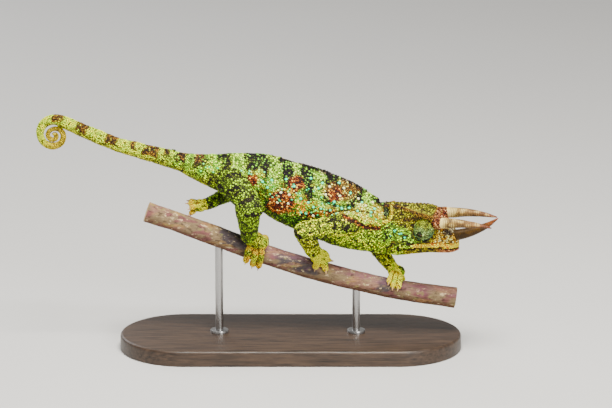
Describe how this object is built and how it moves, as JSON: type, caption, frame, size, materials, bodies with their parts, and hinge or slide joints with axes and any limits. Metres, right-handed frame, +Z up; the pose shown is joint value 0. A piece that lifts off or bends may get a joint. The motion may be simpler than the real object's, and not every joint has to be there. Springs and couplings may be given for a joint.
{
  "type": "chameleon model",
  "caption": "Life-size still model of a horned chameleon walking down a cut length of branch with its tail coiled, held up by a flat wooden base with short metal rods.",
  "frame": {"origin": "under the middle of the model's bounding box, on the surface that the stand rests on", "axes": "+X towards the animal's head, +Y to its left side, +Z up"},
  "size_m": [0.2294, 0.066, 0.1211],
  "materials": {
    "skin_head": "matt, scaly, olive and ochre",
    "skin_body": "matt, scaly, green with pale bars and rust blotches",
    "skin_limbs": "matt, scaly, yellow green with dark specks",
    "skin_tail": "matt, scaly, yellow with brown bands",
    "eyelid": "matt, finely wrinkled, grey green",
    "eyeball": "wet gloss",
    "horn": "satin, ringed",
    "bark": "rough bark",
    "stand_wood": "satin dark stain",
    "stand_metal": "brushed"
  },
  "bodies": {
    "root": {"head": "skin_head", "lower_jaw": "skin_head", "neck": "skin_body", "torso_front": "skin_body", "torso_middle": "skin_body", "torso_rear": "skin_body", "hips": "skin_body", "tail_base": "skin_tail", "tail_middle": "skin_tail", "tail_tip_length": "skin_tail", "tail_coil_turn_1": "skin_tail", "tail_coil_turn_2": "skin_tail", "tail_coil_core": "skin_tail", "eye_turret_left": "eyelid", "eye_turret_right": "eyelid", "eye_left": "eyeball", "eye_right": "eyeball", "horn_left": "horn", "horn_right": "horn", "horn_nose": "horn", "upper_arm_front_left": "skin_limbs", "forearm_front_left": "skin_limbs", "hand_front_left": "skin_limbs", "upper_arm_front_right": "skin_limbs", "forearm_front_right": "skin_limbs", "hand_front_right": "skin_limbs", "thigh_rear_left": "skin_limbs", "shin_rear_left": "skin_limbs", "foot_rear_left": "skin_limbs", "thigh_rear_right": "skin_limbs", "shin_rear_right": "skin_limbs", "foot_rear_right": "skin_limbs", "perch_branch": "bark", "stand_base": "stand_wood", "stand_rod_rear": "stand_metal", "stand_rod_front": "stand_metal"}
  },
  "joints": []
}
